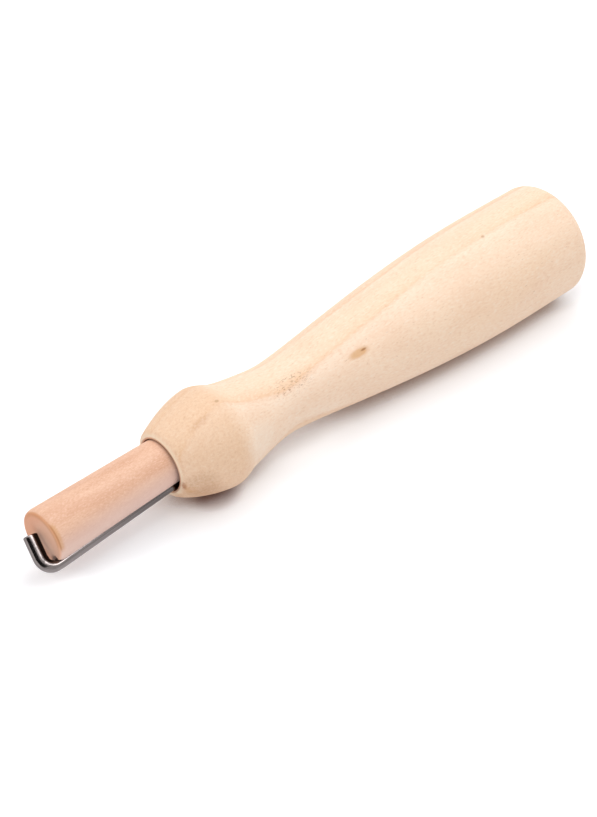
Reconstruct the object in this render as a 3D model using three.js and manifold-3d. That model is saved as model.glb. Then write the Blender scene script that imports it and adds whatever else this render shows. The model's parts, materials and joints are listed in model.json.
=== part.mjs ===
// A felting needle holder, as it lies on a table with its needle stowed: a turned wooden handle, a tapered
// wooden peg wedged in the handle's bore, and one felting needle that lies in a groove along the peg, with
// its point shut away in the handle and its crank hooked over the peg's face.
// Lengths are in millimetres. The tool lies along X with the needle's crank at the low end, and +Z is up.
import * as THREE from "three";
import { mergeVertices } from "three/addons/utils/BufferGeometryUtils.js";
import Module from "manifold-3d";

// Handle: lengths from the mouth's plane, and radii of the turned outline
const handleLength = 86.65;
const lipRadius = 5.0;
const lipRoundRadius = 5.66;
const lipRoundDepth = 0.5;
const bulbRadius = 8.5;
const bulbStation = 9.6;
const neckRadius = 7.5;
const neckStation = 12.8;
const waistRadius = 5.95;
const waistStation = 22.6;
const buttRadius = 9.88;
const buttStation = 69.7;
const buttEdgeRadius = 9.75;
const buttRoundDepth = 4;

// Shares of each stretch of the outline by which its curve leaves one end and reaches the other
const lipShare = 0.5;
const crownShares = { widen: 0.77, leave: 0.35, reach: 0.055 };
const shoulderShares = { leave: 0.45, reach: 0.14 };
const neckShares = { slope: 0.32, leave: 0.05, reach: 0.32 };
const gripShares = { leave: 0.143, reach: 0.44 };
const drawShare = 0.55;
const domeShares = { leave: 0.1, reach: 0.85 };

// Bore: a wide mouth for the peg and a narrower, deeper hole for the needle
const pegBoreRadius = 4.38;
const pegBoreDepth = 17;
const needleBoreRadius = 3.4;
const needleBoreDepth = 57;
const drillPointDepth = 1.6;

// Peg: a cone, thickest at the face that shows
const pegLength = 37;
const pegStandsOut = 23.15;
const pegFaceRadius = 4.54;
const pegInnerRadius = 3.67;
const pegRimWidth = 0.35;
const pegHiddenRadius = 2.2;
const pegRimDepth = 0.9;

// Needle: wire sizes, the lengths of its drawn-down steps, and its triangular blade
const needleLength = 76;
const wireRadius = 0.9;
const middleRadius = 0.6;
const bladeCornerRadius = 0.46;
const pointRadius = 0.05;
const middleLength = 20;
const bladeLength = 24;
const stepLength = 2;
const pointLength = 3.2;
const crankLength = 6.7;
const bendRadius = 2;
const crankStandOff = 1.15;

// Barbs: notches in the blade's three corners
const bladeCorners = 3;
const barbsOnCorner = 3;
const barbPitch = 2.1;
const barbFromPoint = 4.2;
const barbDepth = 0.13;
const barbThroat = 0.18;
const barbRamp = 0.75;

// How the pieces sit in each other
const seatGap = 0.12;
const grooveGap = 0.12;
const cutOverrun = 1;
const needleLean = THREE.MathUtils.degToRad(3.6);
const crankPastSquare = THREE.MathUtils.degToRad(5);
const needleTurn = THREE.MathUtils.degToRad(48);

// Facets round each piece and steps along its curves
const handleFacets = 48;
const outlineSteps = 10;
const pegFacets = 48;
const rimSteps = 6;
const grooveSteps = 8;
const wireFacets = 18;
const bendSteps = 12;
const tiltPasses = 20;

const wood = new THREE.MeshStandardMaterial({ color: 0xf1d9bd, roughness: 0.62, metalness: 0 });
const pegWood = new THREE.MeshStandardMaterial({ color: 0xe9bf9f, roughness: 0.6, metalness: 0 });
const steel = new THREE.MeshStandardMaterial({ color: 0x9a9693, roughness: 0.28, metalness: 1 });

const wasm = await Module();
wasm.setup();

// A closed geometry as a solid that can be cut.
function solidOf(geometry) {
  const bare = geometry.clone();
  bare.deleteAttribute("normal");
  bare.deleteAttribute("uv");
  const merged = mergeVertices(bare);
  return new wasm.Manifold(
    new wasm.Mesh({
      numProp: 3,
      vertProperties: new Float32Array(merged.attributes.position.array),
      triVerts: new Uint32Array(merged.index.array),
    }),
  );
}

// A cut solid back as a geometry with its own normals.
function geometryOf(solid) {
  const { vertProperties, triVerts } = solid.getMesh();
  const shared = new THREE.BufferGeometry();
  shared.setAttribute("position", new THREE.BufferAttribute(vertProperties, 3));
  shared.setIndex(new THREE.BufferAttribute(triVerts, 1));
  const flat = shared.toNonIndexed();
  flat.computeVertexNormals();
  return flat;
}

// A turned solid along X. The outline's x is its radius and its y its station. The ring starts half a facet
// round, so that one facet faces straight down.
function turned(points, facets) {
  const halfFacet = Math.PI / facets;
  return new THREE.LatheGeometry(points, facets, halfFacet, 2 * Math.PI).rotateZ(-Math.PI / 2);
}

// The handle's outside, from the lip of the mouth to the middle of the butt.
function handleOutline() {
  const outline = new THREE.Path().moveTo(lipRadius, 0);
  // The lip is broken by a small round before the bulb's long crown.
  const lipCorner = THREE.MathUtils.lerp(lipRadius, lipRoundRadius, lipShare);
  outline.quadraticCurveTo(lipCorner, 0, lipRoundRadius, lipRoundDepth);
  const crown = bulbStation - lipRoundDepth;
  outline.bezierCurveTo(
    THREE.MathUtils.lerp(lipRoundRadius, bulbRadius, crownShares.widen),
    lipRoundDepth + crownShares.leave * crown,
    bulbRadius,
    bulbStation - crownShares.reach * crown,
    bulbRadius,
    bulbStation,
  );
  // A tight shoulder drops from the bulb's crest to a straight stretch at the neck.
  const shoulder = neckStation - bulbStation;
  const above = shoulderShares.reach * shoulder;
  outline.bezierCurveTo(
    bulbRadius,
    bulbStation + shoulderShares.leave * shoulder,
    neckRadius + above * neckShares.slope,
    neckStation - above,
    neckRadius,
    neckStation,
  );
  // The neck eases into the waist.
  const neck = waistStation - neckStation;
  const below = neckShares.leave * neck;
  outline.bezierCurveTo(
    neckRadius - below * neckShares.slope,
    neckStation + below,
    waistRadius,
    waistStation - neckShares.reach * neck,
    waistRadius,
    waistStation,
  );
  // The grip swells slowly to the widest place of the butt.
  const grip = buttStation - waistStation;
  outline.bezierCurveTo(
    waistRadius,
    waistStation + gripShares.leave * grip,
    buttRadius,
    buttStation - gripShares.reach * grip,
    buttRadius,
    buttStation,
  );
  // It draws in a little, then rounds over to a low dome.
  const edgeStation = handleLength - buttRoundDepth;
  const draw = edgeStation - buttStation;
  outline.quadraticCurveTo(buttRadius, buttStation + drawShare * draw, buttEdgeRadius, edgeStation);
  outline.bezierCurveTo(
    buttEdgeRadius,
    edgeStation + domeShares.leave * buttRoundDepth,
    domeShares.reach * buttEdgeRadius,
    handleLength,
    0,
    handleLength,
  );
  return outline.getPoints(outlineSteps);
}

function makeHandle(outside) {
  const bore = [
    new THREE.Vector2(0, needleBoreDepth + drillPointDepth),
    new THREE.Vector2(needleBoreRadius, needleBoreDepth),
    new THREE.Vector2(needleBoreRadius, pegBoreDepth),
    new THREE.Vector2(pegBoreRadius, pegBoreDepth),
    new THREE.Vector2(pegBoreRadius, 0),
  ];
  const mesh = new THREE.Mesh(turned([...bore, ...outside], handleFacets), wood);
  mesh.name = "handle";
  return mesh;
}

// The angle at which the handle lies with its bulb and its butt both on the table.
function restingTilt(outside) {
  const flatShare = Math.cos(Math.PI / handleFacets);
  const reach = (points, tilt) =>
    Math.max(...points.map((p) => p.x * Math.cos(tilt) * flatShare - p.y * Math.sin(tilt)));
  const bulb = outside.filter((p) => p.y < waistStation);
  const butt = outside.filter((p) => p.y >= waistStation);
  let tilt = 0;
  for (let pass = 0; pass < tiltPasses; pass += 1) {
    tilt += (reach(butt, tilt) - reach(bulb, tilt)) / (buttStation - bulbStation);
  }
  return tilt;
}

// Angle between the peg's axis and its side.
const pegTaper = Math.atan((pegFaceRadius - pegInnerRadius) / pegLength);

// The peg's frame has its origin at the middle of its face and its axis along X, into the handle. It leans by
// its own taper, so that its upper side lies along the bore's upper wall.
function placePeg(object) {
  const wall = pegBoreRadius - seatGap;
  object.rotation.y = -pegTaper;
  object.position.set(
    -pegStandsOut + pegFaceRadius * Math.sin(pegTaper),
    0,
    wall - pegFaceRadius * Math.cos(pegTaper),
  );
}

// The needle's frame has its origin where the bend meets the straight shank, which runs along X. The shank
// leans by its own angle and passes just inside the lower edge of the mouth.
function placeNeedle(object) {
  const crankAxis = -(pegStandsOut + crankStandOff + wireRadius);
  const x = crankAxis + bendRadius * (1 + Math.sin(needleLean));
  const atMouth = -(pegBoreRadius - seatGap) + wireRadius / Math.cos(needleLean);
  object.rotation.y = -needleLean;
  object.position.set(x, 0, atMouth + x * Math.tan(needleLean));
}

// A bar with a round bottom along the needle's own line, wider than the wire by the groove's gap.
function grooveCutter() {
  const radius = wireRadius + grooveGap;
  const depth = pegFaceRadius;
  const section = new THREE.Shape().moveTo(-depth, -radius);
  section.lineTo(0, -radius);
  section.absarc(0, 0, radius, -Math.PI / 2, Math.PI / 2, false);
  section.lineTo(-depth, radius);
  section.closePath();
  const length = pegLength + 2 * (crankStandOff + cutOverrun);
  const bar = new THREE.ExtrudeGeometry(section, {
    depth: length,
    bevelEnabled: false,
    curveSegments: grooveSteps,
  });
  // The section's x turns to +Z and its run to +X, so that the open side of the U hangs down.
  bar.applyMatrix4(
    new THREE.Matrix4().makeBasis(
      new THREE.Vector3(0, 0, 1),
      new THREE.Vector3(0, 1, 0),
      new THREE.Vector3(-1, 0, 0),
    ),
  );
  bar.translate(length, 0, 0);
  return bar;
}

function makePeg() {
  // The face's middle lies behind the needle's crank, and the flat ring round it is free for a fingertip.
  const side = new THREE.Path().moveTo(0, 0).lineTo(pegHiddenRadius, 0);
  side.lineTo(pegFaceRadius - pegRimWidth, 0);
  const shrink = (pegFaceRadius - pegInnerRadius) / pegLength;
  side.quadraticCurveTo(pegFaceRadius, 0, pegFaceRadius - shrink * pegRimDepth, pegRimDepth);
  side.lineTo(pegInnerRadius + shrink * pegRimWidth, pegLength - pegRimWidth);
  side.lineTo(pegInnerRadius - pegRimWidth, pegLength);
  side.lineTo(0, pegLength);
  const cone = solidOf(turned(side.getPoints(rimSteps), pegFacets));
  // The cutter stands in the needle's place and is brought into the peg's frame.
  const pegFrame = new THREE.Object3D();
  const needleFrame = new THREE.Object3D();
  placePeg(pegFrame);
  placeNeedle(needleFrame);
  pegFrame.updateMatrixWorld(true);
  needleFrame.updateMatrixWorld(true);
  const cutter = grooveCutter();
  cutter.applyMatrix4(needleFrame.matrixWorld).applyMatrix4(pegFrame.matrixWorld.clone().invert());
  const mesh = new THREE.Mesh(geometryOf(cone.subtract(solidOf(cutter))), pegWood);
  mesh.name = "peg";
  placePeg(mesh);
  return mesh;
}

// Stations along the straight of the needle, from the bend: where each step in its thickness starts and ends.
const bendAngle = Math.PI / 2 + needleLean + crankPastSquare;
const straightLength = needleLength - bendRadius - wireRadius;
const bladeStart = straightLength - bladeLength;
const middleStart = bladeStart - middleLength;
const shankEnd = middleStart - stepLength;
const middleEnd = bladeStart - stepLength;
const pointStart = straightLength - pointLength;

// The wire's centre line: down the crank, round the bend and along the straight, with rings where the
// thickness changes.
class NeedleLine extends THREE.Curve {
  constructor() {
    super();
    const crankStraight = crankLength - bendRadius - wireRadius;
    const bend = [];
    for (let step = bendSteps; step >= 0; step -= 1) {
      bend.push(this.onBend((bendAngle * step) / bendSteps));
    }
    const top = this.onBend(bendAngle);
    top.x -= crankStraight * Math.cos(bendAngle);
    top.z += crankStraight * Math.sin(bendAngle);
    const steps = [shankEnd, middleStart, middleEnd, bladeStart, pointStart, straightLength];
    this.rings = [top, ...bend, ...steps.map((x) => new THREE.Vector3(x, 0, 0))];
  }
  onBend(angle) {
    return new THREE.Vector3(-bendRadius * Math.sin(angle), 0, bendRadius * (1 - Math.cos(angle)));
  }
  getPoint(share, target = new THREE.Vector3()) {
    const place = THREE.MathUtils.clamp(share, 0, 1) * (this.rings.length - 1);
    const before = Math.min(Math.floor(place), this.rings.length - 2);
    return target.lerpVectors(this.rings[before], this.rings[before + 1], place - before);
  }
  // Rings are met one after the other, however far apart they are.
  getUtoTmapping(share) {
    return share;
  }
}

// Thickness of the round wire at a station of the straight, and how far the blade is pressed to a triangle.
function wireAt(x) {
  const ease = (from, to) => THREE.MathUtils.clamp((x - from) / (to - from), 0, 1);
  const drawn = THREE.MathUtils.lerp(wireRadius, middleRadius, ease(shankEnd, middleStart));
  const ground = THREE.MathUtils.lerp(drawn, bladeCornerRadius, ease(middleEnd, bladeStart));
  const radius = THREE.MathUtils.lerp(ground, pointRadius, ease(pointStart, straightLength));
  return { radius, pressed: ease(middleEnd, bladeStart) };
}

// Angle from one corner of the blade's triangle to the next.
const cornerAngle = (2 * Math.PI) / bladeCorners;

// Reach of a triangle's side in a direction, as a share of its corner's reach.
function sideShare(angle) {
  const fromCorner = THREE.MathUtils.euclideanModulo(angle, cornerAngle);
  return Math.cos(cornerAngle / 2) / Math.cos(fromCorner - cornerAngle / 2);
}

// One wedge that cuts a barb: its steep side leans under the hook, and its long side ramps to the point.
function barbCutter() {
  const wedge = new THREE.Shape().moveTo(-barbThroat, -barbDepth).lineTo(barbRamp, 0);
  wedge.lineTo(barbRamp, barbDepth).lineTo(barbThroat, barbDepth).closePath();
  const across = 2 * bladeCornerRadius;
  const bar = new THREE.ExtrudeGeometry(wedge, { depth: across, bevelEnabled: false });
  return bar.translate(0, 0, -across / 2);
}

function makeNeedle() {
  const section = new THREE.Shape().absarc(0, 0, wireRadius, 0, 2 * Math.PI, false);
  const line = new NeedleLine();
  const wire = new THREE.ExtrudeGeometry(section, {
    steps: line.rings.length - 1,
    curveSegments: wireFacets / 2,
    extrudePath: line,
  });
  // The straight is drawn down in steps and its end pressed to a triangle with one corner to the side.
  const places = wire.getAttribute("position");
  const vertex = new THREE.Vector3();
  for (let i = 0; i < places.count; i += 1) {
    vertex.fromBufferAttribute(places, i);
    if (vertex.x < shankEnd / 2) continue;
    const { radius, pressed } = wireAt(vertex.x);
    const angle = Math.atan2(vertex.z, -vertex.y);
    const reach = radius * THREE.MathUtils.lerp(1, sideShare(angle), pressed);
    places.setXYZ(i, vertex.x, -reach * Math.cos(angle), reach * Math.sin(angle));
  }
  let solid = solidOf(wire);
  const barb = barbCutter();
  // The barbs follow each other round the blade, one corner at a time.
  for (let place = 0; place < bladeCorners * barbsOnCorner; place += 1) {
    const station = straightLength - barbFromPoint - barbPitch * place;
    const cutter = barb.clone().translate(station, bladeCornerRadius, 0);
    cutter.rotateX(Math.PI - place * cornerAngle);
    solid = solid.subtract(solidOf(cutter));
  }
  const mesh = new THREE.Mesh(geometryOf(solid), steel);
  mesh.name = "needle";
  placeNeedle(mesh);
  return mesh;
}

const outside = handleOutline();
// Peg and needle are built with the needle straight below the bore's axis, then turned about that axis.
const wedge = new THREE.Group();
wedge.rotation.x = -needleTurn;
wedge.add(makePeg(), makeNeedle());

const tool = new THREE.Group();
tool.rotation.y = -restingTilt(outside);
tool.add(makeHandle(outside), wedge);

// The origin is on the table, under the middle of the tool.
tool.updateMatrixWorld(true);
const box = new THREE.Box3().setFromObject(tool, true);
const middle = box.getCenter(new THREE.Vector3());
tool.position.set(-middle.x, -middle.y, -box.min.z);

const holder = new THREE.Group();
holder.add(tool);
export default holder;
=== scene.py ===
import json
import math

import bmesh
import bpy
from mathutils import Matrix, Vector
from mathutils.geometry import interpolate_bezier


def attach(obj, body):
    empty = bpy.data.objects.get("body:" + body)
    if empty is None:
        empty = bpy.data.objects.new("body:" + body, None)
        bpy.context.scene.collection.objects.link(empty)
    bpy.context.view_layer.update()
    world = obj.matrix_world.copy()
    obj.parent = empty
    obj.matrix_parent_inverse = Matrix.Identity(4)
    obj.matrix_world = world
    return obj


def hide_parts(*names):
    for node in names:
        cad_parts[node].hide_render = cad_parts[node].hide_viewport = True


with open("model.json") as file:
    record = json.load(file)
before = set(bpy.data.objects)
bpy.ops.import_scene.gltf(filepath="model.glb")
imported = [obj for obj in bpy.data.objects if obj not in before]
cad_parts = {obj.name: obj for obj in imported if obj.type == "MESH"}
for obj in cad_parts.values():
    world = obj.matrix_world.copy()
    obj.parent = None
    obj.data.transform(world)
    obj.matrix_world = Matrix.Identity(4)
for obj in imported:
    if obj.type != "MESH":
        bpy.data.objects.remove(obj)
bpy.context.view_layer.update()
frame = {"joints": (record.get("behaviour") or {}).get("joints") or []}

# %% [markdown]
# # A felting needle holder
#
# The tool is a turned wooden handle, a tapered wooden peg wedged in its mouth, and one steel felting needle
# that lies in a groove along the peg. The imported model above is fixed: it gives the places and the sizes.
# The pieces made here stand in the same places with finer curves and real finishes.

MM = 0.001

# %% [markdown]
# ## Where things lie
#
# The handle is turned about one axis, and on the table that axis rises a little towards the butt. The peg
# and the needle share a frame turned about the same axis, because they lie at the lower right of the bore.
# Each frame is a matrix, so a piece is modelled along X at the origin and then put in its place. Reading the
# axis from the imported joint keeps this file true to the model.

# %% Frame of the handle
joint_axis = {joint["name"]: -Vector(joint["axis"]) for joint in frame["joints"]}
bore_axis = joint_axis["peg_slide"].normalized()
mouth_centre = Vector((-30.297592, 0, 8.253931)) * MM


def frame_along(axis, origin):
    """A frame whose X runs along the axis and whose Y stays level."""
    level = Vector((0, 0, 1)).cross(axis).normalized()
    turn = Matrix((axis, level, axis.cross(level))).transposed().to_4x4()
    return Matrix.Translation(origin) @ turn


handle_frame = frame_along(bore_axis, mouth_centre)

# %% Frame of the peg
# The real bore runs a hair off the middle, away from the needle, and its mouth stands a hair further out.
NEEDLE_TURN = math.radians(48)
BORE_OFF_CENTRE = 0.17 * MM
MOUTH_OUT = 0.12 * MM
bore_shift = Matrix.Rotation(-NEEDLE_TURN, 3, "X") @ Vector((0, 0, BORE_OFF_CENTRE))
mouth_shift = bore_shift - Vector((MOUTH_OUT, 0, 0))
wedge_frame = handle_frame @ Matrix.Translation(bore_shift) @ Matrix.Rotation(-NEEDLE_TURN, 4, "X")

# The peg leans until its upper side lies along the bore's far wall, with a clearance that looks closed.
BORE_RADIUS = 4.38
PEG_CLEARANCE = 0.12
PEG_STANDS_OUT = 23.15 * MM
PEG_LENGTH = 37 * MM
PEG_FACE_RADIUS = 4.54 * MM
PEG_INNER_RADIUS = 3.67 * MM
bearing_height = (BORE_RADIUS - PEG_CLEARANCE) * MM
peg_taper = math.atan((PEG_FACE_RADIUS - PEG_INNER_RADIUS) / PEG_LENGTH)
peg_start = Vector((-PEG_STANDS_OUT, 0, bearing_height))
peg_start += Vector((math.sin(peg_taper), 0, -math.cos(peg_taper))) * PEG_FACE_RADIUS
peg_frame = wedge_frame @ Matrix.Translation(peg_start) @ Matrix.Rotation(-peg_taper, 4, "Y")

# %% Frame of the needle
# The crank stands off the peg's face, and the shank leans just above the mouth's lower edge.
SHANK_RADIUS = 0.9 * MM
BEND_RADIUS = 2 * MM
CRANK_STAND_OFF = 1.15 * MM
NEEDLE_LEAN = math.radians(3.6)
bend_reach = BEND_RADIUS * (1 + math.sin(NEEDLE_LEAN))
bend_station = bend_reach - PEG_STANDS_OUT - CRANK_STAND_OFF - SHANK_RADIUS
shank_height = SHANK_RADIUS / math.cos(NEEDLE_LEAN) - bearing_height + bend_station * math.tan(NEEDLE_LEAN)
needle_start = Matrix.Translation((bend_station, 0, shank_height))
needle_frame = wedge_frame @ needle_start @ Matrix.Rotation(-NEEDLE_LEAN, 4, "Y")
axis_error = (needle_frame.col[0].to_3d() - joint_axis["needle_slide"]).length
print("needle axis differs from the packed joint by", axis_error)

# %% [markdown]
# ## Helpers for meshes
#
# Turned work is a profile spun about an axis, which is also how a lathe makes it. Work with one changing
# section, such as the peg and the wire, is a ring that is extruded from place to place. A finished bmesh is
# cleaned the same way each time: doubles at the seam and the poles are merged, and then the faces are turned
# outwards. Smooth shading hides the facets, and edges sharper than a crease angle stay crisp.

# %% Finish a mesh as a piece on one body of the model
SAME_POINT = 0.0005 * MM
CREASE = math.radians(35)


def object_from(bm, name, material):
    """An object at the origin, unturned and unscaled, that takes over a bmesh."""
    mesh = bpy.data.meshes.new(name)
    bm.to_mesh(mesh)
    bm.free()
    mesh.materials.append(material)
    made = bpy.data.objects.new(name, mesh)
    bpy.context.scene.collection.objects.link(made)
    return made


def finish_piece(bm, name, place, body, node, material):
    """Cleans the mesh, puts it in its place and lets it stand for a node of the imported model."""
    bmesh.ops.remove_doubles(bm, verts=bm.verts, dist=SAME_POINT)
    bmesh.ops.recalc_face_normals(bm, faces=bm.faces)
    bmesh.ops.transform(bm, matrix=place, verts=bm.verts)
    piece = object_from(bm, name, material)
    mesh = piece.data
    mesh.shade_smooth()
    mesh.set_sharp_from_angle(angle=CREASE)
    for polygon in mesh.polygons:
        # The many-cornered ends are truly flat.
        polygon.use_smooth = len(polygon.vertices) <= 4
    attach(piece, body)
    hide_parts(node)
    print(name, "of", material.name, "has", len(mesh.polygons), "faces")


# %% Curves and sections
def bezier(start, start_handle, end_handle, end, steps):
    """Points along one curved stretch of a profile, without its first point."""
    knots = [Vector((*p, 0)) for p in (start, start_handle, end_handle, end)]
    return [p.to_2d() for p in interpolate_bezier(*knots, steps + 1)[1:]]


def skin(bm, sections):
    """Extrudes a ring of points from section to section, closes both ends and gives the rings."""
    ring = [bm.verts.new(p) for p in sections[0]]
    edges = [bm.edges.new(pair) for pair in zip(ring, ring[1:] + ring[:1])]
    bm.faces.new(ring)
    rings = [ring]
    for section in sections[1:]:
        made = bmesh.ops.extrude_edge_only(bm, edges=edges)["geom"]
        ring = [v for v in made if isinstance(v, bmesh.types.BMVert)]
        edges = [e for e in made if isinstance(e, bmesh.types.BMEdge)]
        for vert, point in zip(ring, section):
            vert.co = point
        rings.append(ring)
    bm.faces.new(ring)
    return rings


# %% [markdown]
# ## Helpers for materials
#
# Each finish is a small network of nodes. One function adds a node, sets its options and joins its inputs,
# so that a network reads from top to bottom like a recipe. Patterns are laid out in millimetres, in the
# piece's own frame, so a mark stays where the real one is, also when the piece moves.

# %% Nodes and colours
def linear(hex_colour):
    """An sRGB hex colour as the linear colour that shaders expect."""
    values = [int(hex_colour[i : i + 2], 16) / 255 for i in (1, 3, 5)]
    return [v / 12.92 if v <= 0.04045 else ((v + 0.055) / 1.055) ** 2.4 for v in values] + [1]


def add(tree, kind, inputs=None, **settings):
    """Adds a node. An input is a value or another node's output, and a colour may be a hex string."""
    made = tree.nodes.new("ShaderNode" + kind)
    for name, value in settings.items():
        setattr(made, name, value)
    for name, value in (inputs or {}).items():
        if isinstance(value, bpy.types.NodeSocket):
            tree.links.new(value, made.inputs[name])
        elif isinstance(value, str):
            made.inputs[name].default_value = linear(value)
        else:
            made.inputs[name].default_value = value
    return made


def blank_material(name, **shader):
    """A material with one Principled shader, whose constant sockets are given by name."""
    material = bpy.data.materials.new(name)
    material.use_nodes = True
    tree = material.node_tree
    tree.nodes.clear()
    surface = add(tree, "BsdfPrincipled", {key.replace("_", " "): value for key, value in shader.items()})
    add(tree, "OutputMaterial", {"Surface": surface.outputs["BSDF"]})
    return material, tree, surface


def piece_millimetres(tree, place):
    """Coordinates in the piece's own frame, in millimetres: X along the piece, from its near end."""
    back = place.inverted()
    moved = {
        "Vector": add(tree, "TexCoord").outputs["Object"],
        "Scale": [1 / MM] * 3,
        "Rotation": back.to_3x3().to_euler(),
        "Location": back.translation / MM,
    }
    return add(tree, "Mapping", moved).outputs["Vector"]


# %% Strength and colour of a mark
def amount(tree, *factors):
    """How much of something shows, as a product of factors. A factor is a number, a node's output, or a value
    with the two values between which it goes smoothly from 0 to 1, or between two other ends given last."""
    result = 1.0
    for factor in factors:
        if isinstance(factor, tuple):
            value, start, end, *ends = factor
            low, high = ends or (0.0, 1.0)
            reach = {"Value": value, "From Min": start, "From Max": end, "To Min": low, "To Max": high}
            factor = add(tree, "MapRange", reach, interpolation_type="SMOOTHSTEP").outputs["Result"]
        result = add(tree, "Math", {0: result, 1: factor}, operation="MULTIPLY").outputs[0]
    return result


def stain(tree, ground, colour, *factors):
    """Lays a colour over the ground, as strongly as the product of the factors."""
    layers = {"Factor": amount(tree, *factors), "A": ground, "B": colour}
    return add(tree, "Mix", layers, data_type="RGBA").outputs["Result"]


# %% Places on a piece
def spot(tree, place, centre, size):
    """A soft-edged oval mark: 1 in its inner third, and nothing past its size."""
    oval = {
        "Vector": place,
        "Location": [-c / s for c, s in zip(centre, size)],
        "Scale": [1 / s for s in size],
    }
    from_centre = add(tree, "Mapping", oval).outputs[0]
    far = add(tree, "VectorMath", {0: from_centre}, operation="LENGTH").outputs["Value"]
    return amount(tree, (far, 1.0, 0.35))


def from_line(tree, place, y=0.0, z=0.0):
    """Distance from a line that runs along the piece, through y and z of its cross-section."""
    flat = add(tree, "Mapping", {"Vector": place, "Location": (0, -y, -z), "Scale": (0, 1, 1)})
    return add(tree, "VectorMath", {0: flat.outputs[0]}, operation="LENGTH").outputs["Value"]


def across_grain(tree, place_frame):
    """How squarely the surface cuts across the fibres: 0 along the side, 1 on an end."""
    sides = {0: add(tree, "TexCoord").outputs["Normal"], 1: place_frame.col[0].to_3d()}
    share = add(tree, "VectorMath", sides, operation="DOT_PRODUCT").outputs["Value"]
    return add(tree, "Math", {0: share}, operation="ABSOLUTE").outputs[0]


def stretched_noise(tree, place, long, wide, detail=2):
    """Noise in streaks along the grain, of a length and a width in millimetres."""
    squeezed = add(tree, "Mapping", {"Vector": place, "Scale": (1 / long, 1 / wide, 1 / wide)})
    return add(tree, "TexNoise", {"Vector": squeezed.outputs[0], "Scale": 1, "Detail": detail}).outputs["Fac"]


# %% [markdown]
# ## The handle's wood
#
# The handle is sanded, unvarnished pale wood of a close grain, such as birch or hornbeam. To the eye it is a
# warm cream with very faint growth rings, fine short fibres along the grip and a few darker pores. A picture
# of wood could be wrapped round it, but the rings of a real blank run through the whole piece. So the colours
# are worked out from the place in the wood, and the turned shape cuts through them as the gouge did.

# %% Growth rings
RING_WIDTH = 5.55
PITH = (38.8, -10.9)
RING_AT = 39.95
RING_DRIFT, RING_FRINGE = 1.1, 0.5
RINGS_INSIDE = 8
RING_SHADES = (
    (0.07, "#fde3cb"),
    (0.25, "#fbddc2"),
    (0.7, "#fadcbf"),
    (0.9, "#f7d4b3"),
    (0.965, "#f2c9a3"),
)


def ring_colours(tree, place):
    """Growth rings as shells round the pith, which lies beside the blank: light early wood, tan late wood."""
    # The shells wander a little along the wood, and their edges are ragged from fibre to fibre.
    drift = stretched_noise(tree, place, 100 / 3, 100 / 9)
    fringe = stretched_noise(tree, place, 2.5, 0.4, detail=3)
    radius = from_line(tree, place, *PITH)
    for pattern, reach in ((drift, RING_DRIFT), (fringe, RING_FRINGE)):
        radius = add(tree, "Math", {0: pattern, 1: reach, 2: radius}, operation="MULTIPLY_ADD").outputs[0]
    start = RINGS_INSIDE - (RING_AT + (RING_DRIFT + RING_FRINGE) / 2) / RING_WIDTH
    rings = add(tree, "Math", {0: radius, 1: 1 / RING_WIDTH, 2: start}, operation="MULTIPLY_ADD").outputs[0]
    phase = add(tree, "Math", {0: rings}, operation="FRACT").outputs[0]
    ramp = add(tree, "ValToRGB", {"Fac": phase})
    stops = ramp.color_ramp.elements
    for stop, position in zip(stops, (0.0, 1.0)):
        stop.position, stop.color = position, linear("#f7d6bb")
    for position, colour in RING_SHADES:
        stops.new(position).color = linear(colour)
    return ramp.outputs["Color"]


# %% Plain wood of the grip and the bulb
def plain_handle_colour(tree, place, station, fibres, cut_ends):
    """Rings, broad unevenness, fibres and open pores, and the cut ends of the fibres on the bulb's front."""
    # The rings show in some stretches and are lost in others.
    shown = (stretched_noise(tree, place, 22, 9), 0.35, 0.6, 0.35, 0.9)
    ground = stain(tree, "#fbddc2", ring_colours(tree, place), shown)
    ground = stain(tree, ground, "#f3ceb0", 0.4, (stretched_noise(tree, place, 9, 4), 0.4, 0.75))
    # Real fibres and pores are finer than the picture can show, so they are drawn a little coarser.
    ground = stain(tree, ground, "#e2b48f", 0.35, (fibres, 0.5, 0.75))
    ground = stain(tree, ground, "#fff1e2", 0.35, (fibres, 0.5, 0.28))
    pores = stretched_noise(tree, place, 0.8, 0.18, detail=1)
    ground = stain(tree, ground, "#bd8c62", 0.4, (pores, 0.68, 0.8))
    # On the bulb's front the turning cuts across the fibres. The cut ends drink light and look browner.
    front = (station, 12.6, 9.0)
    ground = stain(tree, ground, "#e6ba92", 0.5, front)
    ground = stain(tree, ground, "#c8946c", 0.34, front, (cut_ends, 0.48, 0.78))
    return stain(tree, ground, "#fdebd9", 0.27, front, (cut_ends, 0.5, 0.3))


# %% Marks, painted light and painted shade along the handle
# Each mark has its place and its half size in millimetres, its colour and its strength.
HANDLE_MARKS_AND_PAINTED_LIGHT = (
    # Painted light on the near side of the neck, which lifts the shade where the neck turns away from the
    # light.
    ((14.0, -7.0, 1.2), (4.4, 4, 4), "#fff1e0", 0.3),
    # A small knot, with its dark heart.
    ((35.9, -5.35, 4.95), (2.7, 0.95, 0.95), "#dca468", 0.7),
    ((36.95, -5.3, 5.1), (0.8, 0.25, 0.25), "#a86f3c", 0.8),
    # Two pin marks.
    ((66.8, -1.7, 9.6), (0.5, 0.4, 0.4), "#a5723f", 0.4),
    ((9.81, -1.85, 8.27), (0.5, 0.4, 0.4), "#a5723f", 0.4),
)
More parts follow.
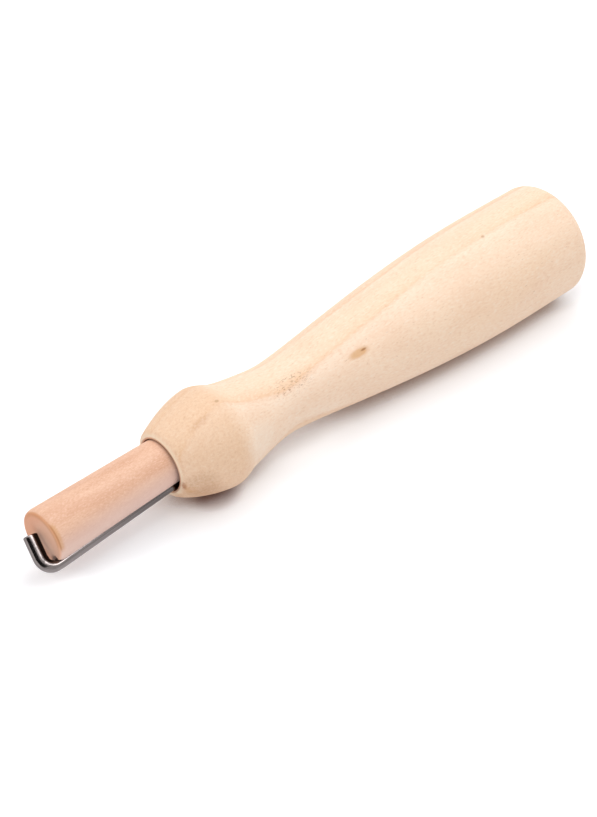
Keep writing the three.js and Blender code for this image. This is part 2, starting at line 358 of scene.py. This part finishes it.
# Mottled darker marks round the mouth and on the bulb; the two broad ones under the bulb are painted shade.
MOUTH_STAINS_AND_PAINTED_SHADE = (
    ((5.4, -2.9, 7.2), (3.4, 0.8, 1.2), "#d29f78", 0.35),
    ((0.3, -4.95, -0.9), (1.0, 0.5, 1.1), "#b0653f", 0.75),
    # Painted shade on the bulb's underside, at its front and at its bottom.
    ((2.3, -6.1, -1.4), (4.4, 4.2, 3.6), "#bf916c", 0.42),
    ((3.0, -6.6, -3.6), (5.0, 3.5, 2.8), "#c4926c", 0.4),
    ((0.9, -5.4, -1.9), (1.6, 1.4, 1.3), "#dba97c", 0.35),
    ((0.2, -3.4, -3.9), (1.2, 1.6, 1.2), "#d2a070", 0.35),
)


def marks_and_painted_light_on_handle(tree, place, station, ground, ticks, cut_ends):
    """Torn grain at the waist, the marks and painted light and shade above, and the painted light and shade
    of the lip, its inner edge and the bore.
    """
    ground = stain(tree, ground, "#b07a50", 0.6, ticks)
    for where, size, colour, strength in HANDLE_MARKS_AND_PAINTED_LIGHT:
        ground = stain(tree, ground, colour, strength, spot(tree, place, where, size))
    # The lip is painted lighter, to lift the shade where it turns in towards the bore. Its inner edge is
    # painted brown, as the shade of the gap round the peg with some rubbing by it, and the bore is painted
    # dark, as the shade inside it with some burnish.
    radius = from_line(tree, place, bore_shift.y / MM, bore_shift.z / MM)
    ground = stain(tree, ground, "#fff0d8", 0.6, (radius, 5.5, 4.9), (station, 0.6, 0.2))
    ground = stain(tree, ground, "#b5652f", 0.6, (radius, 4.85, 4.6), (station, 0.5, 0.2))
    blotch = (cut_ends, 0.25, 0.6, 0.5, 1.0)
    for where, size, colour, strength in MOUTH_STAINS_AND_PAINTED_SHADE:
        ground = stain(tree, ground, colour, strength, spot(tree, place, where, size), blotch)
    return stain(tree, ground, "#7a4022", (radius, 4.5, 4.42), (station, 60, 59))


# %% Sanded pale wood
def handle_wood():
    """The whole finish: colour, a roughness that follows the fibres, and their shallow relief."""
    material, tree, surface = blank_material("sanded_pale_wood", IOR=1.5, Specular_IOR_Level=0.3)
    place = piece_millimetres(tree, handle_frame)
    station = add(tree, "SeparateXYZ", {"Vector": place}).outputs["X"]
    fibres = stretched_noise(tree, place, 0.7, 0.25, detail=5)
    grit = {"Vector": place, "Scale": 2.4, "Detail": 5, "Roughness": 0.72}
    cut_ends = add(tree, "TexNoise", grit).outputs["Fac"]
    ground = plain_handle_colour(tree, place, station, fibres, cut_ends)
    # At the waist the grain was torn a little by the gouge.
    torn = spot(tree, place, (23.4, -3.6, 4.8), (5.6, 2.8, 2.4))
    ticks = amount(tree, torn, (stretched_noise(tree, place, 0.5, 0.13, detail=1), 0.56, 0.68))
    ground = marks_and_painted_light_on_handle(tree, place, station, ground, ticks, cut_ends)
    tree.links.new(ground, surface.inputs["Base Color"])
    tree.links.new(amount(tree, (fibres, 0.3, 0.7, 0.55, 0.68)), surface.inputs["Roughness"])
    height = add(tree, "Math", {0: ticks, 1: -1.5, 2: fibres}, operation="MULTIPLY_ADD").outputs[0]
    bump = add(tree, "Bump", {"Height": height, "Strength": 0.25, "Distance": 0.03 * MM})
    tree.links.new(bump.outputs[0], surface.inputs["Normal"])
    return material


# %% [markdown]
# ## The handle
#
# The real handle is turned from one blank: a bulb round the mouth, a soft shoulder, a narrow waist and a
# long grip that swells to a rounded butt. It is bored from the mouth. It could be a curve with a screw
# modifier and a hole cut in it, but cuts leave ragged meshes. One closed profile holds the bore and the
# outside, and a spin about the axis makes the solid, as the lathe did.

# %% The handle's profile
BORE_START, PEG_BORE_END, NEEDLE_BORE_RADIUS, NEEDLE_BORE_END, DRILL_POINT = 0.3, 17, 3.4, 57, 58.6


def handle_profile():
    """The handle's outline in millimetres, as stations and radii, from the bore's end to the butt."""
    lip, lip_edge, bulb, neck, waist, butt = 4.72, 5.72, 8.5, 7.5, 5.95, 9.88
    lip_at, bulb_at, neck_at, waist_at, butt_at, edge_at, end_at = 0.62, 9.5, 12.8, 22.6, 69.7, 82.4, 86.64
    bore, start = BORE_RADIUS, BORE_START
    # Two more rings in the bore, at 9 and 3, keep the stretch of its mouth short.
    points = [Vector((DRILL_POINT, 0))]
    points += [Vector((station, NEEDLE_BORE_RADIUS)) for station in (NEEDLE_BORE_END, PEG_BORE_END)]
    points += [Vector((station, bore)) for station in (PEG_BORE_END, 9, 3, start)]
    points += bezier((start, bore), (0.12, bore), (0, 4.42), (0, 4.55), 8)
    points += bezier((0, 4.55), (0, 4.6), (0, 4.66), (0, lip), 2)
    points += bezier((0, lip), (0, 5.0), (0.22, 5.4), (lip_at, lip_edge), 12)
    points += bezier((lip_at, lip_edge), (3.0, 7.25), (7.4, 8.45), (bulb_at, bulb), 30)
    points += bezier((bulb_at, bulb), (10.9, bulb), (12.3, 7.66), (neck_at, neck), 18)
    points += bezier((neck_at, neck), (13.3, 7.34), (19.46, waist), (waist_at, waist), 20)
    points += bezier((waist_at, waist), (29.3, waist), (49, butt), (butt_at, butt), 40)
    points += bezier((butt_at, butt), (75, butt), (79, 9.79), (edge_at, 9.76), 10)
    points += bezier((edge_at, 9.76), (83.4, 9.75), (end_at, 8.3), (end_at, 0), 40)
    return points


# %% Small unevenness of the handle
BORE_SIDE = 4.95 * MM
PAST_BORE = 60 * MM
SHIFT_FADES = 3 * MM
NECK_LEAN = 0.14 * MM
NECK_LEAN_AT = 14.2
NECK_LEAN_SPREAD = 3.4


def shift_bore(bm):
    """Moves the bore off the middle, and lets the move fade out over the front of the bulb."""
    for vert in bm.verts:
        radius = math.hypot(vert.co.y, vert.co.z)
        inside = radius < BORE_SIDE and vert.co.x < PAST_BORE
        front = max(1 - vert.co.x / SHIFT_FADES, 0) ** 2
        vert.co += bore_shift * (1 if inside else front) + (mouth_shift - bore_shift) * front


def lean_neck(bm):
    """Sanding by hand left the neck a little fuller on the needle's side."""
    for vert in bm.verts:
        if math.hypot(vert.co.y, vert.co.z) > BORE_SIDE:
            near = math.exp(-(((vert.co.x / MM - NECK_LEAN_AT) / NECK_LEAN_SPREAD) ** 2))
            vert.co -= bore_shift.normalized() * NECK_LEAN * near


# %% Turn the handle
HANDLE_STEPS = 192
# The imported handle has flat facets, and this round one stays just inside the middle of each.
PACKED_FACETS = 48
HANDLE_FIT = math.cos(math.pi / PACKED_FACETS) * 0.998


def turn_handle():
    """Spins the profile about X, which makes the bore and the outside in one go."""
    bm = bmesh.new()
    verts = [bm.verts.new((p.x * MM, 0, p.y * MM * HANDLE_FIT)) for p in handle_profile()]
    edges = [bm.edges.new(pair) for pair in zip(verts, verts[1:])]
    bmesh.ops.spin(
        bm,
        geom=verts + edges,
        cent=(0, 0, 0),
        axis=(1, 0, 0),
        angle=2 * math.pi,
        steps=HANDLE_STEPS,
        use_merge=True,
    )
    shift_bore(bm)
    lean_neck(bm)
    return bm


finish_piece(turn_handle(), "turned_handle", handle_frame, "handle", "handle", handle_wood())

# %% [markdown]
# ## The peg's wood
#
# The peg is cut from a pinker, harder wood such as beech, sanded and not varnished. Close up it shows short
# reddish flecks along the grain. Its end face is end grain, which drinks more light and looks redder. One
# network covers both: a share that tells how squarely the surface cuts the fibres finds the face by itself.

# %% The peg's side and face
def plain_peg_colour(tree, place, z, flecks, ends):
    """Broad streaks and flecks on the side, and the smoother, redder end grain of the face."""
    broad = stretched_noise(tree, place, 9, 1.6)
    ground = stain(tree, "#ebbda0", "#e2b092", (broad, 0.35, 0.7))
    ground = stain(tree, ground, "#cf9572", 0.4, (flecks, 0.5, 0.75))
    ground = stain(tree, ground, "#ffe0c9", 0.3, (flecks, 0.5, 0.28))
    # The lower side, by the needle, is painted paler and pinker, as light reflected up from the table.
    ground = stain(tree, ground, "#f0d0c5", 0.7, (z, 0.0, -3.6))
    ground = stain(tree, ground, "#e4a27f", 0.85, ends)
    cells = add(tree, "TexNoise", {"Vector": place, "Scale": 1.3, "Detail": 2}).outputs["Fac"]
    return stain(tree, ground, "#dc9c80", 0.2, ends, (cells, 0.45, 0.75))


# %% Wear, painted light and shade, and late wood on the peg
def peg_wear_and_painted_light(tree, place, ground, across, ends):
    """The face's paler half, painted light beside the crank, its burnished rim, the groove painted dark, and
    one crescent of late wood.
    """
    x, y, z = add(tree, "SeparateXYZ", {"Vector": place}).outputs
    ground = stain(tree, ground, "#f0c8b0", 0.5, ends, (y, 0.9, -1.6), (z, 3.4, 0.5))
    # Beside the crank the face is painted pale, to lift the shadow that the crank casts on it.
    ground = stain(tree, ground, "#ffd8c0", 0.4, ends, spot(tree, place, (0, -0.2, -1.2), (0.6, 1.7, 3.0)))
    rim = ((from_line(tree, place), 3.4, 4.0), (y, 2.5, 0), (z, -3.8, -1.8))
    ground = stain(tree, ground, "#cf8a52", 0.5, (across, 0.3, 0.6), *rim)
    # The groove under the wire is painted dark: the shade in it, with some rubbing by the steel.
    off_wire = from_line(tree, piece_millimetres(tree, needle_frame))
    ground = stain(tree, ground, "#35231b", 0.85, (off_wire, 1.15, 1.05))
    # One band of late wood crosses the rim in a short orange-brown crescent with a paler band behind it.
    near = amount(tree, (y, -2.4, -3.4), (z, 1.6, 0.4), (z, -3.6, -2.6))
    ground = stain(tree, ground, "#bf7d42", 0.65, near, (x, 0.06, 0.2), (x, 0.42, 0.28))
    return stain(tree, ground, "#d79c60", 0.5, near, (x, 0.25, 0.4), (x, 1.1, 0.5))


# %% Sanded pink wood
def peg_wood():
    """The whole finish: colour, a roughness that follows the flecks, and their shallow relief."""
    material, tree, surface = blank_material("sanded_pink_wood", IOR=1.5, Specular_IOR_Level=0.3)
    place = piece_millimetres(tree, peg_frame)
    height = add(tree, "SeparateXYZ", {"Vector": place}).outputs["Z"]
    flecks = stretched_noise(tree, place, 0.45, 0.17, detail=4)
    across = across_grain(tree, peg_frame)
    ends = amount(tree, (across, 0.4, 0.9))
    ground = plain_peg_colour(tree, place, height, flecks, ends)
    ground = peg_wear_and_painted_light(tree, place, ground, across, ends)
    tree.links.new(ground, surface.inputs["Base Color"])
    tree.links.new(amount(tree, (flecks, 0.3, 0.7, 0.5, 0.62)), surface.inputs["Roughness"])
    bump = add(tree, "Bump", {"Height": flecks, "Strength": 0.35, "Distance": 0.03 * MM})
    tree.links.new(bump.outputs[0], surface.inputs["Normal"])
    return material


# %% [markdown]
# ## The peg
#
# The peg is a slender cone with a round-bottomed groove for the needle. The groove gets shallower inwards,
# because the needle leans more than the peg's side. A cone with a cylinder cut out of it would do, but the
# cut would leave long thin faces along the groove. One section is a circle with a notch in it, so a ring of
# points is extruded from station to station, and each new ring is moved to the section that the peg has
# there.

# %% The peg's section
# Bending drew the crank and its bend a hair thinner than the shank.
CRANK_RADIUS = 0.86 * MM
GROOVE_RADIUS = CRANK_RADIUS + 0.1 * MM
RIM_WIDTH = 0.5 * MM
RIM_DEPTH = 1.1 * MM
# Drawing the wire out again and again has worn the groove's lip on the side where it bears.
LIP_WORN = 0.1 * MM
LIP_WORN_ANGLE = 0.36
needle_in_peg = peg_frame.inverted() @ needle_frame


def groove_centre(station):
    """Height of the needle's centre line below the peg's axis, at a station of the peg."""
    start = needle_in_peg.translation
    along = needle_in_peg.col[0].to_3d()
    return start.z + (station - start.x) * along.z / along.x


def peg_radius(station):
    """The cone's radius, with the rim of its face rounded over and its inner end chamfered."""
    cone = PEG_FACE_RADIUS + (PEG_INNER_RADIUS - PEG_FACE_RADIUS) * station / PEG_LENGTH
    share = min(station / RIM_DEPTH, 1)
    inner_share = min((PEG_LENGTH - station) / RIM_WIDTH, 1)
    return cone - RIM_WIDTH * (1 - math.sqrt(1 - (1 - share) ** 2)) - RIM_WIDTH * (1 - inner_share)


def peg_section(station, outer_steps=180, wall_steps=3, arc_steps=16):
    """Points of the section at a station: once round the wood, in past the groove's walls and out again."""
    radius = peg_radius(station)
    lip_angle = math.asin(GROOVE_RADIUS / radius)
    lip_depth = -radius * math.cos(lip_angle)
    wall_end = max(groove_centre(station), lip_depth + LIP_WORN)

    def wall(lip):
        return [lip + (wall_end - lip) * i / wall_steps for i in range(1, wall_steps)]

    worn_end = 2 * math.pi - math.asin(GROOVE_RADIUS / (radius - LIP_WORN))
    points = []
    for i in range(outer_steps + 1):
        angle = lip_angle + (worn_end - lip_angle) * i / outer_steps
        here = radius - LIP_WORN * max(1 - (worn_end - angle) / LIP_WORN_ANGLE, 0)
        points.append((math.sin(angle) * here, -math.cos(angle) * here))
    points += [(-GROOVE_RADIUS, z) for z in wall(points[-1][1])]
    for i in range(arc_steps + 1):
        angle = math.pi * i / arc_steps
        points.append((-GROOVE_RADIUS * math.cos(angle), wall_end + GROOVE_RADIUS * math.sin(angle)))
    points += [(GROOVE_RADIUS, z) for z in reversed(wall(lip_depth))]
    return [Vector((station, y, z)) for y, z in points]


# %% Cut the peg
RIM_STEPS = 8
BODY_STEPS = 24


def cut_peg():
    """Skins the sections, which lie close together on the rounded rim."""
    rim = [RIM_DEPTH * (1 - math.cos(math.pi / 2 * i / RIM_STEPS)) for i in range(RIM_STEPS + 1)]
    body_end = PEG_LENGTH - RIM_WIDTH
    body = [RIM_DEPTH + (body_end - RIM_DEPTH) * i / BODY_STEPS for i in range(1, BODY_STEPS)]
    bm = bmesh.new()
    skin(bm, [peg_section(station) for station in rim + body + [body_end, PEG_LENGTH]])
    return bm


finish_piece(cut_peg(), "tapered_peg", peg_frame, "peg", "peg", peg_wood())

# %% [markdown]
# ## The needle's steel
#
# The needle is drawn steel wire with a bright nickel finish. Metal shows little colour of its own: it is a
# fairly sharp mirror of the room, here of the white table and the dark gap between the lamps. So the network
# stays small, and most of the look comes from the cards that are set up for it further down.

# %% Nickel-bright wire
def needle_steel():
    """Drawn wire: streaks along its length, and painted shade by the handle and inside the bend."""
    material, tree, surface = blank_material("nickel_bright_wire", Metallic=1)
    place = piece_millimetres(tree, needle_frame)
    # Drawing leaves faint streaks along the wire.
    streaks = stretched_noise(tree, place, 3.0, 0.12, detail=3)
    ground = stain(tree, "#8a8281", "#6f6866", streaks)
    # Towards the handle the wire is painted darker, as the shaded bulb that it mirrors there.
    along = add(tree, "SeparateXYZ", {"Vector": place}).outputs["X"]
    ground = stain(tree, ground, "#4d4745", 0.6, (along, 6, 20))
    # The inside of the bend faces the peg closely and is painted almost black, as the shaded wood that it
    # mirrors there.
    inside = add(tree, "Attribute", attribute_name="inside_of_bend").outputs["Fac"]
    ground = stain(tree, ground, "#120c0a", 0.95, (inside, 0.02, 0.3))
    tree.links.new(ground, surface.inputs["Base Color"])
    tree.links.new(amount(tree, (streaks, 0.3, 0.7, 0.12, 0.2)), surface.inputs["Roughness"])
    return material


# %% [markdown]
# ## The needle
#
# The needle is one wire: a short crank, a bend, a thick shank, a thinner middle and a blade pressed to a
# triangle, with barbs cut in its corners. A curve with a bevel gives a round wire in a moment, but it can't
# be pressed or notched. So a ring of points is extruded along the wire's line, and each ring is moved to the
# section that the wire has there.

# %% The wire's thickness and its barbs
SHANK_END, MIDDLE_START, MIDDLE_END, BLADE_START, POINT_START, TIP = 25.1, 27.1, 47.1, 49.1, 69.9, 73.1
MIDDLE_RADIUS, CORNER_RADIUS, POINT_RADIUS = 0.6, 0.46, 0.05
BARBS_ON_CORNER, BARB_PITCH, BARB_FROM_POINT, BARB_DEPTH, BARB_RAMP = 3, 2.1, 4.2, 0.13, 0.75
CORNERS = 3


def passed(x, start, end):
    """The share of a stretch that lies behind a station: 0 before the stretch and 1 past it."""
    return min(max((x - start) / (end - start), 0), 1)


def wire_radius(x):
    """The round wire's radius at a station of the straight, all in millimetres."""
    shank = SHANK_RADIUS / MM
    radius = shank + (MIDDLE_RADIUS - shank) * passed(x, SHANK_END, MIDDLE_START)
    radius += (CORNER_RADIUS - radius) * passed(x, MIDDLE_END, BLADE_START)
    return radius + (POINT_RADIUS - radius) * passed(x, POINT_START, TIP)


def barb_stations():
    """Where each barb starts, from the point backwards, one corner after the other."""
    return [TIP - BARB_FROM_POINT - BARB_PITCH * place for place in range(CORNERS * BARBS_ON_CORNER)]


def blade_section(x, radius, angle):
    """How far the surface lies from the wire's middle: a circle that turns into a notched triangle."""
    third = 2 * math.pi / CORNERS
    off_corner = (angle + third / 2) % third - third / 2
    flat = radius / 2 / math.cos(third / 2 - abs(off_corner))
    corner = round((angle - off_corner) / third) % CORNERS
    for place, barb in enumerate(barb_stations()):
        if place % CORNERS == corner and barb <= x < barb + BARB_RAMP:
            deep = BARB_DEPTH * (1 - (x - barb) / BARB_RAMP)
            flat = min(flat, (radius - deep) / math.cos(off_corner))
    return radius + (flat - radius) * passed(x, MIDDLE_END, BLADE_START)


# %% The wire's line
CRANK_LENGTH = 6.55 * MM
CRANK_EDGE = 0.26 * MM
# The crank is bent a little past square, towards the peg.
PAST_SQUARE = math.radians(6.5)
# The crank reaches its full width before the bend ends.
CRANK_WIDENS = 1.4
EDGE_STEPS, CRANK_STEPS, BEND_STEPS, STRAIGHT_STEPS = 4, 6, 32, 100
BARB_EDGE = 0.02


def straight_stations():
    """Stations along the straight, close together at the barbs."""
    stations = {TIP * i / STRAIGHT_STEPS for i in range(1, STRAIGHT_STEPS + 1)}
    for barb in barb_stations():
        stations |= {barb - BARB_EDGE, barb, barb + BARB_RAMP / 2, barb + BARB_RAMP}
    return sorted(stations)


def wire_rings():
    """Centre, run, radius and crank share of each ring along the wire, from the crank's end to the point."""
    bend_angle = math.pi / 2 + NEEDLE_LEAN + PAST_SQUARE
    straight = CRANK_LENGTH - BEND_RADIUS - CRANK_RADIUS
    rings = []

    def on_bend(angle, beyond=0, radius=CRANK_RADIUS):
        run = Vector((math.cos(angle), 0, -math.sin(angle)))
        centre = Vector((-math.sin(angle), 0, 1 - math.cos(angle))) * BEND_RADIUS
        crank = min(angle / bend_angle * CRANK_WIDENS, 1)
        rings.append((centre - run * beyond, run, radius, crank))

    for i in range(EDGE_STEPS + 1):
        angle = math.pi / 2 * i / EDGE_STEPS
        inset = CRANK_EDGE * (1 - math.sin(angle))
        on_bend(bend_angle, straight - CRANK_EDGE * (1 - math.cos(angle)), CRANK_RADIUS - inset)
    for i in range(CRANK_STEPS):
        on_bend(bend_angle, (straight - CRANK_EDGE) * (CRANK_STEPS - 1 - i) / CRANK_STEPS)
    for i in range(1, BEND_STEPS + 1):
        on_bend(bend_angle * (1 - i / BEND_STEPS))
    for x in straight_stations():
        rings.append((Vector((x * MM, 0, 0)), Vector((1, 0, 0)), wire_radius(x) * MM, 0))
    return rings


# %% Draw the needle
WIRE_SIDES = 36
# Bending pressed the crank a little flat, so it is wider in the plane of the bend.
CRANK_WIDE_SHARE = 1.38
CRANK_THINS = 0.3
around = [2 * math.pi * i / WIRE_SIDES for i in range(WIRE_SIDES)]


def wire_section(centre, run, radius, crank):
    """Points round the wire. On the crank they are spread in the plane of the bend, towards its inside."""
    side = Vector((0, 1, 0))
    inward = run.cross(side)
    wide = 1 + (CRANK_WIDE_SHARE - 1) * crank
    thin = (2 - wide) ** CRANK_THINS
    middle = centre + inward * radius * (wide - 1)
    points = []
    for angle in around:
        far = radius if crank else blade_section(centre.x / MM, radius / MM, angle) * MM
        points.append(middle + (side * math.cos(angle) * thin + inward * math.sin(angle) * wide) * far)
    return points


def draw_needle():
    """Skins the wire's sections, and marks on each point how far it lies inside the bend."""
    bm = bmesh.new()
    inside = bm.verts.layers.float.new("inside_of_bend")
    line = wire_rings()
    for ring, (*_, crank) in zip(skin(bm, [wire_section(*place) for place in line]), line):
        for vert, angle in zip(ring, around):
            vert[inside] = math.sin(angle) * crank
    return bm


finish_piece(draw_needle(), "barbed_needle", needle_frame, "needle", "needle", needle_steel())

# %% [markdown]
# ## The white table
#
# The photo is a plain product shot on a white table. Its white could come from more light, but that would
# burn the wood out too. So the table glows faintly where the camera looks at it, less where the tool shades
# it, and a few spots paint its shadow lighter or darker. Its soft shadows stay, and a brown contact shadow is
# painted where the wood touches it.

# %% White table
TABLE_HALF = 3
# Each row has a place and a half size in millimetres, and how much more the table glows there: painted light
# or painted shadow round the tool.
PAINTED_SHADOW_SPOTS = (
    ((-4, -3, 0), (12, 6, 5), 0.09),
    ((-24, -9, 0), (12, 7, 5), -0.01),
    ((54, -3, 0), (9, 6, 5), -0.22),
    ((-52, -11, 0), (16, 10, 5), 0.18),
    ((-56, -5, 0), (9, 6, 5), 0.25),
)


def looked_at(tree):
    """1 where the camera sees a surface itself or in a mirror, 0 where the surface only sends light on."""
    path = add(tree, "LightPath").outputs
    seen = path["Is Camera Ray"]
    for ray in ("Is Glossy Ray", "Is Transmission Ray"):
        seen = add(tree, "Math", {0: seen, 1: path[ray]}, operation="MAXIMUM").outputs[0]
    return seen


def table_glow_and_painted_shadow(tree, place, open_sky):
    """The photo burns the table out to white, except close by the tool, where little of the sky is open. The
    spots paint the shadow lighter or darker.
    """
    glow = amount(tree, 0.28, (open_sky, 0.2, 0.42))
    for where, size, lift in PAINTED_SHADOW_SPOTS:
        more = {0: spot(tree, place, where, size), 1: lift, 2: glow}
        glow = add(tree, "Math", more, operation="MULTIPLY_ADD").outputs[0]
    glow = add(tree, "Math", {0: glow, 1: 0}, operation="MAXIMUM").outputs[0]
    return amount(tree, glow, looked_at(tree))


def white_table():
    """A white table that the camera sees a little brighter than it is, as the photo does, with a painted
    contact shadow.
    """
    material, tree, surface = blank_material(
        "white_table", Roughness=0.9, Specular_IOR_Level=0.1, Emission_Color="#ffffff"
    )
    place = piece_millimetres(tree, Matrix())
    open_sky = add(tree, "AmbientOcclusion", {"Distance": 30 * MM}, samples=16).outputs["AO"]
    tree.links.new(table_glow_and_painted_shadow(tree, place, open_sky), surface.inputs["Emission Strength"])
    # Where the wood touches it, a brown contact shadow is painted on the table, darkest under the bulb.
    ground = stain(tree, "#eceef2", "#b5835c", 0.5, (open_sky, 0.3, 0.2))
    ground = stain(tree, ground, "#7d4526", 0.72, spot(tree, place, (-22.6, -3.5, 0), (5.6, 4.2, 4)))
    tree.links.new(ground, surface.inputs["Base Color"])
    bm = bmesh.new()
    bmesh.ops.create_grid(bm, x_segments=1, y_segments=1, size=TABLE_HALF)
    table = object_from(bm, "table", material)
    print("table:", 2 * TABLE_HALF, "m square")


white_table()

# %% [markdown]
# ## Light
#
# A white room lights the tool from all sides, and three lamps give it its form: a large soft light from
# above, a small one that gives the grain and the shadow an edge, and a weak fill from the needle's end. A
# sun would do for one hard shadow, but the photo's shadow is wide and soft, and square lamps give that.

# %% White world
WORLD_STRENGTH = 0.66


def white_world():
    """A room that lights the tool less strongly than the pure white that the camera sees of it."""
    world = bpy.data.worlds.new("studio")
    world.use_nodes = True
    tree = world.node_tree
    tree.nodes.clear()
    level = add(tree, "MapRange", {"Value": looked_at(tree), "To Min": WORLD_STRENGTH, "To Max": 1.0})
    sky = add(tree, "Background", {"Color": "#ffffff", "Strength": level.outputs[0]})
    add(tree, "OutputWorld", {"Surface": sky.outputs[0]})
    bpy.context.scene.world = world


white_world()

# %% Lamps
LAMPS_FACE = Vector((0, 0, 0.01))


def soft_lamp(name, direction, distance, size, power):
    """A square soft light that faces the tool."""
    lamp = bpy.data.lights.new(name, "AREA")
    lamp.shape = "SQUARE"
    lamp.size = size
    lamp.energy = power
    holder = bpy.data.objects.new(name, lamp)
    holder.location = LAMPS_FACE + Vector(direction).normalized() * distance
    holder.rotation_euler = (LAMPS_FACE - holder.location).to_track_quat("-Z", "Y").to_euler()
    bpy.context.scene.collection.objects.link(holder)
    print("lamp:", name, power, "W")


soft_lamp("key", (0.22, 0.1, 1.0), 0.9, 1.1, 4.75)
soft_lamp("spark", (0.3, 0.35, 1.0), 1.0, 0.16, 0.5)
soft_lamp("fill", (-1.0, -0.25, 0.35), 1.0, 0.8, 1.1)

# %% [markdown]
# ## Cards for the steel
#
# Bright metal needs something dark and something bright to mirror. In a studio these are cards held beside
# the object, and here they are planes that only reflections see: one is the dark room behind the camera, and
# one is the strip of light that draws the bright line along the crank and the bend.

# %% Cards for the steel to mirror
TOOL_END = Vector((-54, -4, 6)) * MM
CARD_DISTANCE = 0.6


def card(name, direction, wide, long, colour, glow=0.0):
    """A card that faces the needle's end of the tool."""
    material, *_ = blank_material(
        name, Roughness=1, Base_Color=colour, Emission_Color="#ffffff", Emission_Strength=glow
    )
    towards = Vector(direction).normalized()
    across = Vector((0, 1, 0)).cross(towards).normalized()
    turn = Matrix((across, towards.cross(across), towards)).transposed().to_4x4()
    bm = bmesh.new()
    bmesh.ops.create_grid(bm, x_segments=1, y_segments=1, size=0.5)
    bmesh.ops.scale(bm, vec=(wide, long, 1), verts=bm.verts)
    stand = Matrix.Translation(TOOL_END + towards * CARD_DISTANCE)
    bmesh.ops.transform(bm, matrix=stand @ turn, verts=bm.verts)
    made = object_from(bm, name, material)
    made.visible_camera = made.visible_diffuse = made.visible_shadow = False
    print("card:", name, wide, "by", long, "m")


card("dark_room", (-0.519, -0.574, 0.634), 0.5, 0.6, "#101010")
card("bright_strip", (0.3, -0.08, 0.96), 0.218, 0.84, "#ffffff", glow=5.6)

# %% [markdown]
# ## Camera
#
# The camera was fitted to the photo: a long lens from the front left, looking down at about 39 degrees. A
# matrix from its three directions places it exactly, where angles typed by hand would be a little off.

# %% Camera
PHOTO_HEIGHT = 817
FOCAL_PIXELS = 2599.35
NEAR_CLIP = 0.01
EYE = Vector((-215.133, -235.096, 263.671)) * MM
LOOK = Vector((0.519086, 0.573678, -0.633595)).normalized()
ABOVE = Vector((0.428264, 0.466951, 0.773658))
right = LOOK.cross(ABOVE).normalized()
above = right.cross(LOOK)

lens = bpy.data.cameras.new("camera")
lens.lens = FOCAL_PIXELS / PHOTO_HEIGHT * lens.sensor_width
lens.clip_start = NEAR_CLIP
camera = bpy.data.objects.new("camera", lens)
camera.matrix_world = Matrix.Translation(EYE) @ Matrix((right, above, -LOOK)).transposed().to_4x4()
bpy.context.scene.collection.objects.link(camera)
bpy.context.scene.camera = camera
bpy.context.scene.view_settings.view_transform = "Standard"
print("lens", round(lens.lens, 2))
